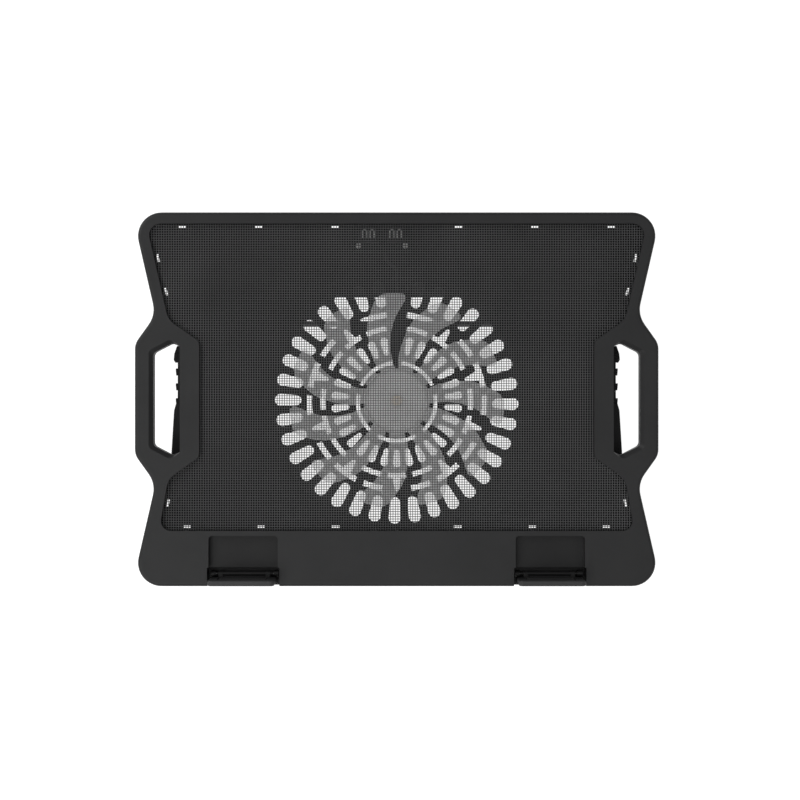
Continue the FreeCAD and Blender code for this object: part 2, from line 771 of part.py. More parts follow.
def propArm(sign):
    """Flat link from the pad's pivot to the rod that rests in the base's teeth."""
    y0 = hingeY + propLength
    y1 = hingeY + 2 * propLength
    ends = [rod(3.2, 127.0, 139.0, y0, hingeZ), rod(3.2, 127.0, 139.0, y1, hingeZ)]
    bar = box(127.0, 139.0, y0, y1, hingeZ - 2.6, hingeZ + 2.6)
    arm = fused(ends + [bar])
    recess = box(129.4, 136.6, y0 + 8, y1 - 8, hingeZ - 3, hingeZ - 1.2)
    arm = arm.cut([rod(pinRadius + pinClearance, 120.0, 145.0, y0, hingeZ),
                   rod(rodRadius, 120.0, 145.0, y1, hingeZ), recess])
    return arm if sign > 0 else mirrored(arm)


def propRod():
    bar = rod(rodRadius, -rodHalfLength, rodHalfLength, hingeY + 2 * propLength, hingeZ)
    return bar.makeChamfer(0.4, [edge for edge in bar.Edges if edge.Curve.TypeId == "Part::GeomCircle"])


def standFeet():
    feet = []
    for x, y in footSpots:
        feet += both(stadium(x, y, footHalfLength, footRadius, 0, footThick))
    return feet


def build():
    save("top_frame", topFrame())
    save("perforated_sheet", perforatedSheet())
    save("bottom_housing", bottomHousing())
    save("housing_screws", housingScrews())
    for sign, side in ((1, "right"), (-1, "left")):
        save("laptop_stop_" + side, laptopStop(sign))
        save("stop_strip_" + side, stopStrip(sign))
        save("stop_pin_" + side, stopPin(sign))
        save("prop_arm_" + side, propArm(sign))
    save("fan_rotor", fanRotor())
    save("rotor_yoke", rotorYoke())
    save("rotor_magnet", ring(20.4, 16.6, hubBottom + 0.6, hubTop - hubWall - 1.4))
    save("rotor_shaft", rotorShaft())
    save("stator_core", statorCore())
    save("stator_coils", statorCoils())
    save("motor_board", motorBoard())
    save("bearing_tube", bearingTube())
    save("bearing_sleeve", bearingSleeve())
    save("usb_board", usbBoard())
    save("usb_shells", [usbShell(x) for x in portXs])
    save("usb_tongues", [usbTongue(x) for x in portXs])
    save("usb_contacts", [contact for x in portXs for contact in usbContacts(x)])
    save("usb_board_screws", boardScrews())
    save("fan_lead", fanLead())
    save("stand_base", standBase())
    save("base_hinge_pins", hingePins())
    save("prop_pins", propPins())
    save("prop_rod", propRod())
    save("stand_feet", standFeet())


build()
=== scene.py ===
import math

import bmesh
import bpy
from mathutils import Matrix, Vector


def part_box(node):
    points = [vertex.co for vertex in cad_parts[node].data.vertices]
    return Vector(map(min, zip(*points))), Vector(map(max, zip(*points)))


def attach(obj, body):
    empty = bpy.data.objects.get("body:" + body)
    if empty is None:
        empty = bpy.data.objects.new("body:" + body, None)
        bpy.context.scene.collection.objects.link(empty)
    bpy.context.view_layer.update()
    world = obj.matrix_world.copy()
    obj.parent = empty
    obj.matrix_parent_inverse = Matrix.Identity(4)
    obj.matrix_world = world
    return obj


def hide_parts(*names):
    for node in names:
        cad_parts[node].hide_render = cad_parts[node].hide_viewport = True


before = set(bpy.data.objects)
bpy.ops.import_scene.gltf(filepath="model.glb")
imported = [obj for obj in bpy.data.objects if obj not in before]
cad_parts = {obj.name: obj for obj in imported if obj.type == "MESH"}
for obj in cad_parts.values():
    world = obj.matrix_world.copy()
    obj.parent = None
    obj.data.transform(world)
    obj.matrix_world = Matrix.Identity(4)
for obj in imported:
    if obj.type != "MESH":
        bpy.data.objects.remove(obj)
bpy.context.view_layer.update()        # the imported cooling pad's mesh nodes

mm = 0.001
scene = bpy.context.scene
scene.view_settings.view_transform = "Standard"


# small helpers

def addObject(name, data):
    obj = bpy.data.objects.new(name, data)
    scene.collection.objects.link(obj)
    return obj


def bmeshToMesh(name, bm):
    mesh = bpy.data.meshes.new(name)
    bm.to_mesh(mesh)
    bm.free()
    return mesh


# a plain mesh with its faces pointing outwards
def meshFrom(name, verts, faces, smooth=True):
    bm = bmesh.new()
    made = [bm.verts.new(spot) for spot in verts]
    for face in faces:
        bm.faces.new([made[i] for i in face]).smooth = smooth
    bmesh.ops.remove_doubles(bm, verts=bm.verts, dist=1e-7)
    bmesh.ops.recalc_face_normals(bm, faces=bm.faces)
    return bmeshToMesh(name, bm)


# one mesh out of several, moved together
def joined(name, meshes, shift=(0, 0, 0), degrees=None):
    bm = bmesh.new()
    for mesh in meshes:
        bm.from_mesh(mesh)
    bmesh.ops.translate(bm, verts=bm.verts, vec=Vector(shift))
    mesh = bmeshToMesh(name, bm)
    if degrees:
        mesh.set_sharp_from_angle(angle=math.radians(degrees))
    return mesh


def coated(mesh, material):
    mesh.materials.clear()
    mesh.materials.append(material)
    return mesh


# a new piece that takes the place of a CAD node
def takePlace(name, mesh, node, body):
    piece = addObject(name, mesh)
    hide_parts(node)
    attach(piece, body)
    return piece


def centreOf(node):
    low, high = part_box(node)
    return [(a + b) / 2 for a, b in zip(low, high)]


# box between two corners with all its edges rounded
def softBox(low, high, radius, segments=2):
    bm = bmesh.new()
    bmesh.ops.create_cube(bm, size=1)
    size = [b - a for a, b in zip(low, high)]
    middle = [(a + b) / 2 for a, b in zip(low, high)]
    bmesh.ops.scale(bm, verts=bm.verts, vec=Vector(size))
    bmesh.ops.translate(bm, verts=bm.verts, vec=Vector(middle))
    bmesh.ops.bevel(bm, geom=bm.edges[:], offset=radius, segments=segments, profile=0.5, affect="EDGES")
    for face in bm.faces:
        face.smooth = True
    return bmeshToMesh("softBox", bm)


# turns a closed profile of (radius, height) round the Z axis
def revolve(profile, segments=96):
    verts = []
    faces = []
    count = len(profile)
    for i in range(segments):
        turn = 2 * math.pi * i / segments
        for radius, height in profile:
            verts.append((radius * math.cos(turn), radius * math.sin(turn), height))
    for i in range(segments):
        for j in range(count):
            here = i * count
            onward = (i + 1) % segments * count
            follow = (j + 1) % count
            faces.append((here + j, here + follow, onward + follow, onward + j))
    return verts, faces


# faces of a skin over stacked closed rings that hold the same number of points
def bandFaces(rings, row):
    faces = []
    for i in range(rings - 1):
        for k in range(row):
            onward = (k + 1) % row
            faces.append((i * row + k, i * row + onward, (i + 1) * row + onward, (i + 1) * row + k))
    return faces


# rectangle with round corners, as points about its middle; steps is the number of pieces in a corner
def roundedRect(halfX, halfZ, corner, steps):
    points = []
    for quarter in range(4):
        signX = (1, -1, -1, 1)[quarter]
        signZ = (1, 1, -1, -1)[quarter]
        for k in range(steps + 1):
            bend = math.radians(90 * quarter + 90 / steps * k)
            points.append((signX * (halfX - corner) + corner * math.cos(bend),
                           signZ * (halfZ - corner) + corner * math.sin(bend)))
    return points


# Catmull-Rom value at x through (x, value) points
def smoothValue(points, x):
    last = len(points) - 1
    k = 0
    while k < last - 1 and x > points[k + 1][0]:
        k += 1
    x1, y1 = points[k]
    x2, y2 = points[k + 1]
    x0, y0 = points[max(k - 1, 0)]
    x3, y3 = points[min(k + 2, last)]
    t = (x - x1) / (x2 - x1)
    m1 = (y2 - y0) / (x2 - x0) * (x2 - x1)
    m2 = (y3 - y1) / (x3 - x1) * (x2 - x1)
    return ((2 * t ** 3 - 3 * t ** 2 + 1) * y1 + (t ** 3 - 2 * t ** 2 + t) * m1
            + (3 * t ** 2 - 2 * t ** 3) * y2 + (t ** 3 - t ** 2) * m2)


# geometry node trees

# an empty tree with named inputs (name, kind, value)
def newTree(name, inputs):
    tree = bpy.data.node_groups.new(name, "GeometryNodeTree")
    tree.interface.new_socket("Geometry", in_out="INPUT", socket_type="NodeSocketGeometry")
    tree.interface.new_socket("Geometry", in_out="OUTPUT", socket_type="NodeSocketGeometry")
    for label, kind, value in inputs:
        socket = tree.interface.new_socket(label, in_out="INPUT", socket_type=kind)
        if value is not None:
            socket.default_value = value
    start = tree.nodes.new("NodeGroupInput")
    end = tree.nodes.new("NodeGroupOutput")
    return tree, start, end


def finishTree(tree, end, geometry, material):
    realize = tree.nodes.new("GeometryNodeRealizeInstances")
    paint = tree.nodes.new("GeometryNodeSetMaterial")
    paint.inputs["Material"].default_value = material
    tree.links.new(geometry, realize.inputs[0])
    tree.links.new(realize.outputs[0], paint.inputs["Geometry"])
    tree.links.new(paint.outputs[0], end.inputs[0])


# runs the tree on a mesh and gives the result as a plain mesh
def applyTree(name, source, tree, values):
    carrier = addObject(name + "Carrier", source)
    modifier = carrier.modifiers.new("build", "NODES")
    modifier.node_group = tree
    for item in tree.interface.items_tree:
        if item.in_out == "INPUT" and item.name in values:
            modifier[item.identifier] = values[item.name]
    graph = bpy.context.evaluated_depsgraph_get()
    mesh = bpy.data.meshes.new_from_object(carrier.evaluated_get(graph), depsgraph=graph)
    mesh.name = name
    carrier.modifiers.remove(modifier)
    bpy.data.objects.remove(carrier)
    return mesh


# sweeps a rectangular bar along every edge
def barTree(name, material):
    inputs = [("Width", "NodeSocketFloat", 0.001), ("Height", "NodeSocketFloat", 0.001)]
    tree, start, end = newTree(name, inputs)
    nodes, links = tree.nodes, tree.links
    line = nodes.new("GeometryNodeMeshToCurve")
    normal = nodes.new("GeometryNodeSetCurveNormal")
    normal.mode = "Z_UP"
    section = nodes.new("GeometryNodeCurvePrimitiveQuadrilateral")
    sweep = nodes.new("GeometryNodeCurveToMesh")
    sweep.inputs["Fill Caps"].default_value = True
    links.new(start.outputs["Geometry"], line.inputs["Mesh"])
    links.new(line.outputs["Curve"], normal.inputs["Curve"])
    links.new(normal.outputs["Curve"], sweep.inputs["Curve"])
    links.new(start.outputs["Width"], section.inputs["Width"])
    links.new(start.outputs["Height"], section.inputs["Height"])
    links.new(section.outputs["Curve"], sweep.inputs["Profile Curve"])
    finishTree(tree, end, sweep.outputs["Mesh"], material)
    return tree


# sweeps a round wire along every edge
def wireTree(name, material):
    tree, start, end = newTree(name, [("Radius", "NodeSocketFloat", 0.0003), ("Sides", "NodeSocketInt", 8)])
    nodes, links = tree.nodes, tree.links
    line = nodes.new("GeometryNodeMeshToCurve")
    section = nodes.new("GeometryNodeCurvePrimitiveCircle")
    sweep = nodes.new("GeometryNodeCurveToMesh")
    sweep.inputs["Fill Caps"].default_value = True
    links.new(start.outputs["Geometry"], line.inputs["Mesh"])
    links.new(line.outputs["Curve"], sweep.inputs["Curve"])
    links.new(start.outputs["Radius"], section.inputs["Radius"])
    links.new(start.outputs["Sides"], section.inputs["Resolution"])
    links.new(section.outputs["Curve"], sweep.inputs["Profile Curve"])
    finishTree(tree, end, sweep.outputs["Mesh"], material)
    return tree


# copies the geometry round the Z axis
def ringCopyTree(name, material):
    tree, start, end = newTree(name, [("Count", "NodeSocketInt", 11)])
    nodes, links = tree.nodes, tree.links
    points = nodes.new("GeometryNodePoints")
    place = nodes.new("GeometryNodeInstanceOnPoints")
    index = nodes.new("GeometryNodeInputIndex")
    share = nodes.new("ShaderNodeMath")
    share.operation = "DIVIDE"
    turn = nodes.new("ShaderNodeMath")
    turn.operation = "MULTIPLY"
    turn.inputs[1].default_value = 2 * math.pi
    spin = nodes.new("ShaderNodeCombineXYZ")
    links.new(start.outputs["Count"], points.inputs["Count"])
    links.new(points.outputs[0], place.inputs["Points"])
    links.new(start.outputs["Geometry"], place.inputs["Instance"])
    links.new(index.outputs[0], share.inputs[0])
    links.new(start.outputs["Count"], share.inputs[1])
    links.new(share.outputs[0], turn.inputs[0])
    links.new(turn.outputs[0], spin.inputs["Z"])
    links.new(spin.outputs[0], place.inputs["Rotation"])
    finishTree(tree, end, place.outputs[0], material)
    return tree


# copies the geometry along a straight row from a start, one step apart
def rowCopyTree(name, material):
    inputs = [("Count", "NodeSocketInt", 5), ("Start", "NodeSocketVector", None),
              ("Step", "NodeSocketVector", None)]
    tree, start, end = newTree(name, inputs)
    nodes, links = tree.nodes, tree.links
    row = nodes.new("GeometryNodeMeshLine")
    place = nodes.new("GeometryNodeInstanceOnPoints")
    links.new(start.outputs["Count"], row.inputs["Count"])
    links.new(start.outputs["Start"], row.inputs["Start Location"])
    links.new(start.outputs["Step"], row.inputs["Offset"])
    links.new(row.outputs["Mesh"], place.inputs["Points"])
    links.new(start.outputs["Geometry"], place.inputs["Instance"])
    finishTree(tree, end, place.outputs[0], material)
    return tree


# puts a copy of the piece on every point of the geometry
def spotCopyTree(name, material):
    inputs = [("Piece", "NodeSocketObject", None), ("Turn", "NodeSocketFloat", 0.0)]
    tree, start, end = newTree(name, inputs)
    nodes, links = tree.nodes, tree.links
    info = nodes.new("GeometryNodeObjectInfo")
    place = nodes.new("GeometryNodeInstanceOnPoints")
    spin = nodes.new("ShaderNodeCombineXYZ")
    links.new(start.outputs["Piece"], info.inputs["Object"])
    links.new(start.outputs["Geometry"], place.inputs["Points"])
    links.new(info.outputs["Geometry"], place.inputs["Instance"])
    links.new(start.outputs["Turn"], spin.inputs["Z"])
    links.new(spin.outputs[0], place.inputs["Rotation"])
    finishTree(tree, end, place.outputs[0], material)
    return tree


# copies of a mesh at a list of places, as one plain mesh
def copiesAt(name, pieceMesh, spots, material, turn=0.0):
    piece = addObject(name + "Piece", pieceMesh)
    points = bpy.data.meshes.new(name + "Spots")
    points.from_pydata(spots, [], [])
    mesh = applyTree(name, points, spotCopyTree(name + "Tree", material), {"Piece": piece, "Turn": turn})
    bpy.data.objects.remove(piece)
    return mesh


# materials

def startMaterial(name):
    mat = bpy.data.materials.new(name)
    mat.use_nodes = True
    nodes = mat.node_tree.nodes
    shader = nodes["Principled BSDF"]
    coords = nodes.new("ShaderNodeTexCoord")
    return mat, nodes, mat.node_tree.links, shader, coords


def noise(nodes, links, coords, scale, detail=3.0, rough=0.5):
    node = nodes.new("ShaderNodeTexNoise")
    node.inputs["Scale"].default_value = scale
    node.inputs["Detail"].default_value = detail
    node.inputs["Roughness"].default_value = rough
    links.new(coords.outputs["Object"], node.inputs["Vector"])
    return node


def ramp(nodes, links, source, low, high, start=0.3, stop=0.7):
    node = nodes.new("ShaderNodeValToRGB")
    node.color_ramp.elements[0].position = start
    node.color_ramp.elements[1].position = stop
    node.color_ramp.elements[0].color = (*low, 1)
    node.color_ramp.elements[1].color = (*high, 1)
    links.new(source, node.inputs["Fac"])
    return node


def spread(nodes, links, source, low, high):
    node = nodes.new("ShaderNodeMapRange")
    node.inputs["From Min"].default_value = 0.3
    node.inputs["From Max"].default_value = 0.7
    node.inputs["To Min"].default_value = low
    node.inputs["To Max"].default_value = high
    links.new(source, node.inputs["Value"])
    return node


def bump(nodes, links, shader, height, strength, distance):
    node = nodes.new("ShaderNodeBump")
    node.inputs["Strength"].default_value = strength
    node.inputs["Distance"].default_value = distance
    links.new(height, node.inputs["Height"])
    links.new(node.outputs["Normal"], shader.inputs["Normal"])
    return node


def tint(colour, factor):
    return tuple(min(1.0, c * factor) for c in colour)


# painted light and shade: scales a colour by height, so one plastic looks lit high up and shaded low down;
# the factor runs through (height, factor) points
def paintShadingByHeight(nodes, links, coords, colour, points):
    split = nodes.new("ShaderNodeSeparateXYZ")
    links.new(coords.outputs["Object"], split.inputs["Vector"])
    low, high = points[0][0], points[-1][0]
    span = nodes.new("ShaderNodeMapRange")
    span.inputs["From Min"].default_value = low
    span.inputs["From Max"].default_value = high
    links.new(split.outputs["Z"], span.inputs["Value"])
    grey = nodes.new("ShaderNodeValToRGB")
    steps = grey.color_ramp.elements
    while len(steps) < len(points):
        steps.new(1.0)
    for step, (height, factor) in zip(steps, points):
        step.position = (height - low) / (high - low)
        step.color = (factor, factor, factor, 1)
    links.new(span.outputs["Result"], grey.inputs["Fac"])
    mix = nodes.new("ShaderNodeMix")
    mix.data_type = "RGBA"
    mix.blend_type = "MULTIPLY"
    mix.inputs["Factor"].default_value = 1
    links.new(colour, mix.inputs["A"])
    links.new(grey.outputs["Color"], mix.inputs["B"])
    return mix.outputs["Result"]


# 1 inside both stop pockets as seen from above, 0 elsewhere: it picks where the pocket's painted shade goes
def pocketShadeMask(nodes, links, coords):
    split = nodes.new("ShaderNodeSeparateXYZ")
    links.new(coords.outputs["Object"], split.inputs["Vector"])
    across = nodes.new("ShaderNodeMath")
    across.operation = "ABSOLUTE"
    links.new(split.outputs["X"], across.inputs[0])
    tests = []
    sources = ((across.outputs[0], pocketShadePlan["x"]), (split.outputs["Y"], pocketShadePlan["y"]))
    for source, (middle, reach) in sources:
        test = nodes.new("ShaderNodeMath")
        test.operation = "COMPARE"
        test.inputs[1].default_value = middle
        test.inputs[2].default_value = reach
        links.new(source, test.inputs[0])
        tests.append(test)
    both = nodes.new("ShaderNodeMath")
    both.operation = "MULTIPLY"
    links.new(tests[0].outputs[0], both.inputs[0])
    links.new(tests[1].outputs[0], both.inputs[1])
    return both.outputs[0]


# moulded plastic with a fine spark-eroded grain and slow changes of tone and gloss, and where asked painted
# light and shade by height
def mouldedPlastic(name, colour, rough, grain, specular=0.4, heightShading=None, pocketHeightShading=None):
    mat, nodes, links, shader, coords = startMaterial(name)
    cloud = noise(nodes, links, coords, 28, 4)
    tone = ramp(nodes, links, cloud.outputs["Fac"], tint(colour, 0.9), tint(colour, 1.1))
    skin = tone.outputs["Color"]
    # painted light and shade: the colour is scaled by height, with a darker scale in the stop pockets
    if heightShading:
        plain = skin
        skin = paintShadingByHeight(nodes, links, coords, plain, heightShading)
        if pocketHeightShading:
            mix = nodes.new("ShaderNodeMix")
            mix.data_type = "RGBA"
            links.new(pocketShadeMask(nodes, links, coords), mix.inputs["Factor"])
            links.new(skin, mix.inputs["A"])
            links.new(paintShadingByHeight(nodes, links, coords, plain, pocketHeightShading), mix.inputs["B"])
            skin = mix.outputs["Result"]
    links.new(skin, shader.inputs["Base Color"])
    fine = noise(nodes, links, coords, grain, 2, 0.6)
    gloss = spread(nodes, links, fine.outputs["Fac"], rough - 0.05, rough + 0.07)
    links.new(gloss.outputs["Result"], shader.inputs["Roughness"])
    bump(nodes, links, shader, fine.outputs["Fac"], 0.35, 0.00012)
    shader.inputs["Specular IOR Level"].default_value = specular
    return mat


# metal with fine drawn lines along the short axis of stretch
def brushedMetal(name, colour, rough, stretch=(1, 1, 1), metallic=1.0):
    mat, nodes, links, shader, coords = startMaterial(name)
    mapping = nodes.new("ShaderNodeMapping")
    mapping.inputs["Scale"].default_value = stretch
    links.new(coords.outputs["Object"], mapping.inputs["Vector"])
    lines = nodes.new("ShaderNodeTexNoise")
    lines.inputs["Scale"].default_value = 900
    lines.inputs["Detail"].default_value = 3
    links.new(mapping.outputs["Vector"], lines.inputs["Vector"])
    tone = ramp(nodes, links, lines.outputs["Fac"], tint(colour, 0.86), tint(colour, 1.08))
    links.new(tone.outputs["Color"], shader.inputs["Base Color"])
    gloss = spread(nodes, links, lines.outputs["Fac"], rough - 0.06, rough + 0.1)
    links.new(gloss.outputs["Result"], shader.inputs["Roughness"])
    bump(nodes, links, shader, lines.outputs["Fac"], 0.15, 0.00005)
    shader.inputs["Metallic"].default_value = metallic
    return mat


# black coating of the punched sheet: slightly orange-peeled, half gloss
def powderCoat(name, colour, rough):
    mat, nodes, links, shader, coords = startMaterial(name)
    peel = noise(nodes, links, coords, 1600, 2, 0.5)
    cloud = noise(nodes, links, coords, 18, 3)
    tone = ramp(nodes, links, cloud.outputs["Fac"], tint(colour, 0.85), tint(colour, 1.15))
    links.new(tone.outputs["Color"], shader.inputs["Base Color"])
    gloss = spread(nodes, links, peel.outputs["Fac"], rough - 0.06, rough + 0.06)
    links.new(gloss.outputs["Result"], shader.inputs["Roughness"])
    bump(nodes, links, shader, peel.outputs["Fac"], 0.2, 0.00004)
    shader.inputs["Specular IOR Level"].default_value = 0.3
    return mat


# translucent smoke-grey plastic: what lies under it shows through, dimmed, and the glow is painted light,
# standing in for light from below led sideways in the plastic
def smokePlastic(name, colour, rough, cover, clear, paintedGlow):
    mat, nodes, links, shader, coords = startMaterial(name)
    cloud = noise(nodes, links, coords, 45, 4)
    tone = ramp(nodes, links, cloud.outputs["Fac"], tint(colour, 0.94), tint(colour, 1.06))
    links.new(tone.outputs["Color"], shader.inputs["Base Color"])
    gloss = spread(nodes, links, cloud.outputs["Fac"], rough - 0.03, rough + 0.05)
    links.new(gloss.outputs["Result"], shader.inputs["Roughness"])
    shader.inputs["Alpha"].default_value = cover
    shader.inputs["Transmission Weight"].default_value = clear
    shader.inputs["IOR"].default_value = 1.08
    shader.inputs["Emission Color"].default_value = (1, 1, 1, 1)
    shader.inputs["Emission Strength"].default_value = paintedGlow
    return mat


def softRubber(name, colour, rough=0.8):
    mat, nodes, links, shader, coords = startMaterial(name)
    dust = noise(nodes, links, coords, 260, 4, 0.6)
    tone = ramp(nodes, links, dust.outputs["Fac"], tint(colour, 0.8), tint(colour, 1.5))
    links.new(tone.outputs["Color"], shader.inputs["Base Color"])
    gloss = spread(nodes, links, dust.outputs["Fac"], rough - 0.08, rough + 0.08)
    links.new(gloss.outputs["Result"], shader.inputs["Roughness"])
    bump(nodes, links, shader, dust.outputs["Fac"], 0.3, 0.0001)
    shader.inputs["Specular IOR Level"].default_value = 0.25
    return mat


# dark solder mask with faint copper tracks under it
def circuitBoard(name):
    mat, nodes, links, shader, coords = startMaterial(name)
    tracks = nodes.new("ShaderNodeTexBrick")
    tracks.inputs["Scale"].default_value = 220
    tracks.inputs["Color1"].default_value = (0.002, 0.004, 0.0034, 1)
    tracks.inputs["Color2"].default_value = (0.0024, 0.0048, 0.0038, 1)
    tracks.inputs["Mortar"].default_value = (0.004, 0.008, 0.006, 1)
    tracks.inputs["Mortar Size"].default_value = 0.03
    links.new(coords.outputs["Object"], tracks.inputs["Vector"])
    links.new(tracks.outputs["Color"], shader.inputs["Base Color"])
    bump(nodes, links, shader, tracks.outputs["Fac"], 0.3, 0.00003)
    shader.inputs["Roughness"].default_value = 0.55
    shader.inputs["Specular IOR Level"].default_value = 0.12
    return mat


print("materials")
# painted light and shade, as a share of the tone by height in metres: full at the top of the stops, dark
# down in their pockets
framePaintedShading = [(0.030, 0.5), (0.036, 0.52), (0.046, 1.0)]
pocketPaintedShading = [(0.022, 0.12), (0.028, 0.2), (0.0305, 0.32), (0.0325, 0.5), (0.036, 0.52), (0.046, 1.0)]
housingPaintedShade = [(0.0132, 1.0), (0.0142, 0.14), (0.0160, 0.14), (0.0170, 1.0)]      # painted shade, darkest on its inner floor
# middle and half size of a pocket with its trench, the area that gets the pocket's painted shade
pocketShadePlan = {"x": (0.1069, 0.0254), "y": (-0.1124, 0.0175)}
finish = {
    # the frame plastic carries painted light and shade by height, darker still in the stop pockets
    "framePlastic": mouldedPlastic("framePlastic", (0.036, 0.036, 0.0366), 0.5, 2600, 0.25,
                                   framePaintedShading, pocketPaintedShading),
    # the housing plastic carries painted shade on its inner floor
    "housingPlastic": mouldedPlastic("housingPlastic", (0.018, 0.018, 0.0184), 0.62, 2200, 0.2,
                                     housingPaintedShade),
    "standPlastic": mouldedPlastic("standPlastic", (0.018, 0.018, 0.0185), 0.6, 2200, 0.2),
    "sheetCoat": powderCoat("sheetCoat", (0.074, 0.074, 0.075), 0.45),
    # the last value is the blades' painted glow
    "smoke": smokePlastic("smokePlastic", (0.98, 0.98, 0.98), 0.6, 0.58, 0.5, 0.11),
    "rubber": softRubber("blackRubber", (0.018, 0.018, 0.018)),
    "steel": brushedMetal("pinSteel", (0.3, 0.3, 0.31), 0.35, (0.05, 1, 1)),
    "blackSteel": brushedMetal("blackenedSteel", (0.05, 0.05, 0.052), 0.4, (0.05, 1, 1), 0.7),
    "zinc": brushedMetal("zincPlate", (0.78, 0.78, 0.77), 0.5, (1, 1, 0.1), 0.25),
    "satinNickel": brushedMetal("satinNickel", (0.8, 0.8, 0.78), 0.5, (1, 0.08, 1), 0.4),
    # painted shade: this nickel is darkened far below real nickel, standing in for the shade the USB shells
    # lie in
    "nickelDarkenedForShade": brushedMetal("nickelDarkenedForShade", (0.018, 0.018, 0.0175), 0.5, (1, 0.08, 1)),
    "brass": brushedMetal("plainBrass", (0.72, 0.5, 0.22), 0.32, (1, 1, 0.1)),
    "copper": brushedMetal("windingCopper", (0.66, 0.24, 0.1), 0.35, (1, 1, 0.05)),
    "core": brushedMetal("coreSteel", (0.2, 0.2, 0.21), 0.5, (0.05, 0.05, 1)),
    "magnet": mouldedPlastic("bondedMagnet", (0.05, 0.046, 0.045), 0.6, 1500),
    "board": circuitBoard("solderMask"),
    "socketPlastic": mouldedPlastic("socketPlastic", (0.012, 0.012, 0.014), 0.38, 2000),
    "sleeve": softRubber("leadSleeve", (0.014, 0.014, 0.015), 0.55),
}


# perforated sheet: crossing webs inside a plain rim

sheetPlan = {"pitch": 1.72 * mm, "web": 0.44 * mm, "rim": 1.6 * mm, "drop": 0.02 * mm}


# edges of the node's outline at its top, as pairs of (x, y)
def outlineOf(node):
    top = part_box(node)[1][2]
    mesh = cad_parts[node].data
    edges = []
    for face in mesh.polygons:
        if abs(face.normal.z) < 0.5:
            high = [mesh.vertices[i].co for i in face.vertices if abs(mesh.vertices[i].co.z - top) < 1e-6]
            if len(high) == 2:
                edges.append(((high[0].x, high[0].y), (high[1].x, high[1].y)))
    return edges


# stretches of the line x = value or y = value that lie inside the outline
def chords(edges, along, value):
    across = 1 - along
    hits = []
    for a, b in edges:
        low, high = sorted((a[across], b[across]))
        if low <= value < high:
            t = (value - a[across]) / (b[across] - a[across])
            hits.append(a[along] + t * (b[along] - a[along]))
    hits.sort()
    return list(zip(hits[0::2], hits[1::2]))


# centre lines of all webs: one run along X for each row and one along Y for each column
def sheetLines(edges, z):
    low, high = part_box("perforated_sheet")
    verts = []
    lines = []
    for along in (0, 1):
        across = 1 - along
        middle = (low[across] + high[across]) / 2
        count = int((high[across] - low[across]) / 2 / sheetPlan["pitch"])
        for i in range(-count, count + 1):
            value = middle + (i + 0.5) * sheetPlan["pitch"]
            for start, stop in chords(edges, along, value):
                for end in (start, stop):
                    spot = [0, 0, z - along * sheetPlan["drop"]]
                    spot[along] = end
                    spot[across] = value
                    verts.append(spot)
                lines.append((len(verts) - 2, len(verts) - 1))
    return verts, lines


def makeSheet():
    print("perforated sheet")
    low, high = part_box("perforated_sheet")
    z = (low[2] + high[2]) / 2
    thick = high[2] - low[2]
    tree = barTree("webBars", finish["sheetCoat"])
    edges = outlineOf("perforated_sheet")
    verts, lines = sheetLines(edges, z)
    source = bpy.data.meshes.new("webLines")
    source.from_pydata(verts, lines, [])
    webSize = {"Width": sheetPlan["web"], "Height": thick - sheetPlan["drop"] * 2}
    webs = applyTree("webs", source, tree, webSize)
    bm = bmesh.new()
    for a, b in edges:
        bm.edges.new([bm.verts.new((x, y, z)) for x, y in (a, b)])
    bmesh.ops.remove_doubles(bm, verts=bm.verts, dist=1e-6)
    rimSize = {"Width": sheetPlan["rim"], "Height": thick}
    rim = applyTree("rim", bmeshToMesh("rimLine", bm), tree, rimSize)
    bm = bmesh.new()
    bm.from_mesh(webs)
    bm.from_mesh(rim)
    bmesh.ops.recalc_face_normals(bm, faces=bm.faces)
    mesh = coated(bmeshToMesh("perforatedSheet", bm), finish["sheetCoat"])
    takePlace("perforatedSheet", mesh, "perforated_sheet", "pad")


# fan rotor: hub cup and blades in one moulding

rotorPlan = {
    "blades": 11,
    "thick": 1.3 * mm,
    "camber": 0.12,
    "tip": 75.5 * mm,
    "hubRadius": 23 * mm,
    "hubWall": 1.6 * mm,
    "hubRound": 3.0 * mm,
    "dish": 0.3 * mm,
    "tipRound": 5 * mm,          # length of blade over which its corners close in
    "tipTrim": 2.6,              # degrees taken off each corner at the very tip
    "rings": 22,
    "steps": 14,
    # blade edges seen from above: radius in mm, angle in degrees
    "frontEdge": [(22, 86.6), (31, 87.4), (44, 83.4), (56, 79.0), (67, 72.4), (75.5, 67.6)],
    "backEdge": [(22, 92.6), (30, 96.4), (44, 95.8), (58, 91.2), (68, 86.4), (75.5, 83.6)],
}


